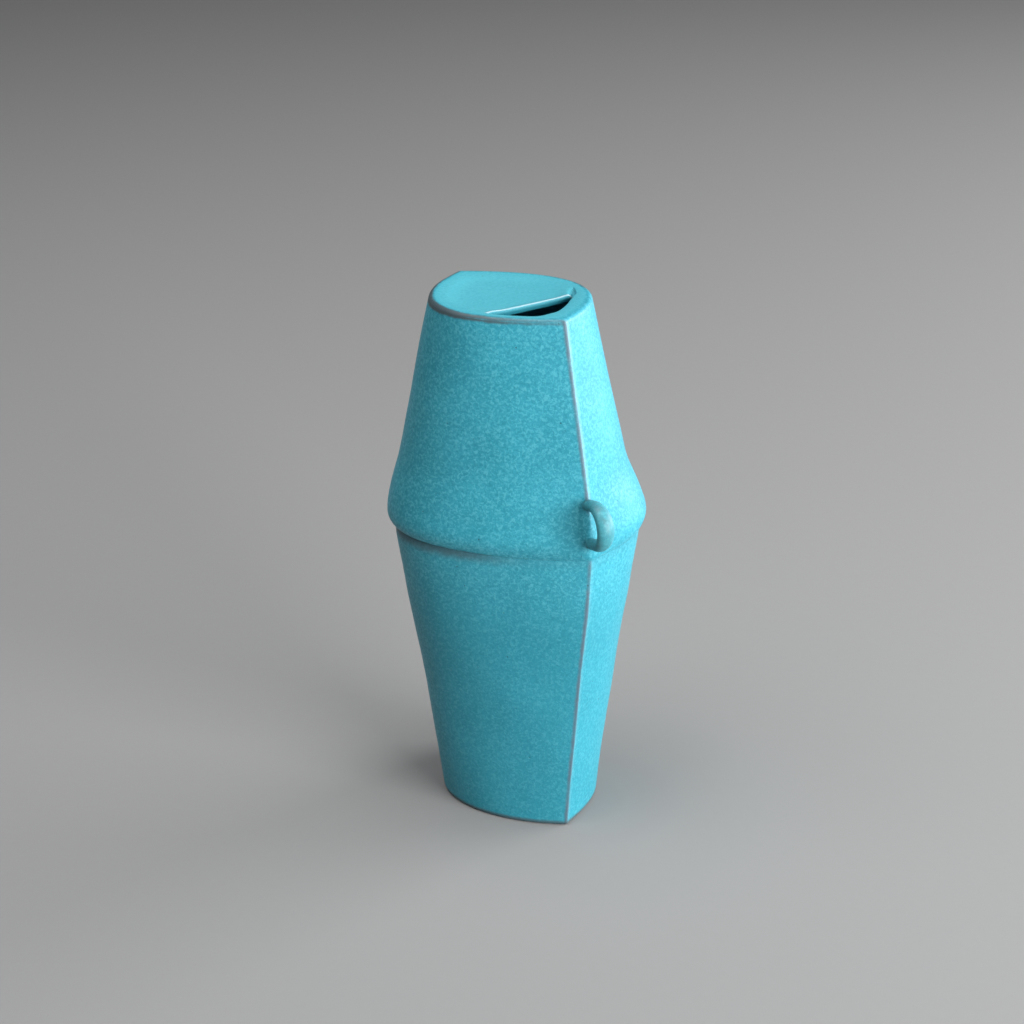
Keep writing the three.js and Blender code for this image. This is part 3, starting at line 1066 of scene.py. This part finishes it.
def add_floor(tint):
    """A plain round floor that bends up into a backdrop all around the vase."""
    flat, bend, top, sectors = 1.8, 1.0, 4.0, 72
    flat_steps, bend_steps = 4, 16
    profile = [(flat * (step + 1) / flat_steps, 0.0) for step in range(flat_steps)]
    for turned in np.linspace(0, math.pi / 2, bend_steps + 1)[1:]:
        profile.append((flat + bend * math.sin(turned), bend * (1 - math.cos(turned))))
    profile.append((flat + bend, top))
    points = [(0.0, 0.0, 0.0)]
    for radius, z in profile:
        for around in np.linspace(0, 2 * math.pi, sectors, endpoint=False):
            points.append((radius * math.cos(around), radius * math.sin(around), z))
    faces = []
    for sector in range(sectors):
        following = (sector + 1) % sectors
        faces.append((0, 1 + sector, 1 + following))
        for ring in range(len(profile) - 1):
            low, high = 1 + ring * sectors, 1 + (ring + 1) * sectors
            faces.append((low + sector, high + sector, high + following, low + following))
    mesh = bpy.data.meshes.new("floor")
    mesh.from_pydata(points, [], faces)
    mesh.shade_smooth()
    recipe = Recipe("floor_paper")
    darkening = 0.77
    darker = [value * darkening for value in tint]
    fibre = recipe.between(recipe.cloud(3, 3), 0.3, 0.7)
    shade = recipe.coats(rgba(tint), (fibre, 0.04, darker))
    surface = recipe.add("ShaderNodeBsdfPrincipled", {"Base Color": shade, "Roughness": 0.8})
    recipe.add("ShaderNodeOutputMaterial", {"Surface": surface.outputs["BSDF"]})
    mesh.materials.append(recipe.material)
    floor = bpy.data.objects.new("floor", mesh)
    bpy.context.scene.collection.objects.link(floor)
    return floor


def add_camera(stage):
    """The camera of the front view."""
    data = bpy.data.cameras.new("camera")
    data.lens = stage.lens
    data.sensor_width = stage.sensor
    camera = bpy.data.objects.new("camera", data)
    camera.location = stage.camera_place
    camera.rotation_euler = (math.pi / 2 - stage.camera_pitch, 0, 0)
    bpy.context.scene.collection.objects.link(camera)
    bpy.context.scene.camera = camera
    return camera


# ---- Operators ---------------------------------------------------------------------------------------


class BUDVASE_OT_foot(bpy.types.Operator):
    """Builds the foot slab"""

    bl_idname = "budvase.foot"
    bl_label = "Foot"

    def execute(self, context):
        build_foot()
        return {"FINISHED"}


class BUDVASE_OT_lower_walls(bpy.types.Operator):
    """Builds the two slabs of the lower body"""

    bl_idname = "budvase.lower_walls"
    bl_label = "Lower walls"

    def execute(self, context):
        build_wall("lower_front", "lower_front_wall", FOOT_LEVEL, CREASE_LEVEL, 1, False)
        build_wall("lower_back", "lower_back_wall", FOOT_LEVEL, CREASE_LEVEL, -1, False)
        return {"FINISHED"}


class BUDVASE_OT_upper_walls(bpy.types.Operator):
    """Builds the two slabs of the upper body, with the ridge and the rim"""

    bl_idname = "budvase.upper_walls"
    bl_label = "Upper walls"

    def execute(self, context):
        build_wall("upper_front", "upper_front_wall", CREASE_LEVEL, RIM_LEVEL, 1, True)
        build_wall("upper_back", "upper_back_wall", CREASE_LEVEL, RIM_LEVEL, -1, True)
        return {"FINISHED"}


class BUDVASE_OT_top(bpy.types.Operator):
    """Builds the top plate with its cut corner"""

    bl_idname = "budvase.top"
    bl_label = "Top plate"

    def execute(self, context):
        build_plate()
        return {"FINISHED"}


class BUDVASE_OT_ring(bpy.types.Operator):
    """Builds the coil ring on the front seam"""

    bl_idname = "budvase.ring"
    bl_label = "Ring"

    def execute(self, context):
        build_ring()
        return {"FINISHED"}


class BUDVASE_OT_stage(bpy.types.Operator):
    """Sets up the floor, the lamps and the camera"""

    bl_idname = "budvase.stage"
    bl_label = "Stage"

    def execute(self, context):
        scene = context.scene
        stage = scene.vase_stage
        scene.view_settings.view_transform = "Standard"
        add_camera(stage)
        add_floor(stage.floor)
        for name, (turn, rise) in LAMPS.items():
            add_lamp(name + "_lamp", turn, rise, getattr(stage, name))
        world = bpy.data.worlds.new("room")
        world.use_nodes = True
        backdrop = world.node_tree.nodes["Background"]
        backdrop.inputs["Color"].default_value = (1, 1, 1, 1)
        backdrop.inputs["Strength"].default_value = stage.room
        scene.world = world
        return {"FINISHED"}


class BUDVASE_PT_panel(bpy.types.Panel):
    """Lists the pieces of the vase and their sizes"""

    bl_idname = "BUDVASE_PT_panel"
    bl_label = "Bud vase"
    bl_space_type = "VIEW_3D"
    bl_region_type = "UI"
    bl_category = "Bud vase"

    def draw(self, context):
        column = self.layout.column(align=True)
        for operator in OPERATORS:
            column.operator(operator.bl_idname)
        for key in GROUPS:
            box = self.layout.box()
            for name in getattr(context.scene, key).__annotations__:
                box.prop(getattr(context.scene, key), name)


OPERATORS = (
    BUDVASE_OT_stage,
    BUDVASE_OT_foot,
    BUDVASE_OT_lower_walls,
    BUDVASE_OT_upper_walls,
    BUDVASE_OT_top,
    BUDVASE_OT_ring,
)
GROUPS = {
    "vase_shape": VaseShape,
    "vase_walls": WallSizes,
    "vase_mouth": MouthSizes,
    "vase_ring": RingSizes,
    "vase_glaze": GlazeColours,
    "vase_stage": StageSettings,
}


def register():
    """Adds the classes and their settings to Blender."""
    for kind in (*GROUPS.values(), *OPERATORS, BUDVASE_PT_panel):
        bpy.utils.register_class(kind)
    for key, group in GROUPS.items():
        setattr(bpy.types.Scene, key, PointerProperty(type=group))


def unregister():
    """Takes the classes and their settings out again."""
    for key in GROUPS:
        delattr(bpy.types.Scene, key)
    for kind in reversed((*GROUPS.values(), *OPERATORS, BUDVASE_PT_panel)):
        bpy.utils.unregister_class(kind)


def main():
    """Builds the stage and every piece."""
    register()
    bpy.ops.budvase.stage()
    bpy.ops.budvase.foot()
    bpy.ops.budvase.lower_walls()
    bpy.ops.budvase.upper_walls()
    bpy.ops.budvase.top()
    bpy.ops.budvase.ring()
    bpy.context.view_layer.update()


if __name__ == "__main__":
    main()
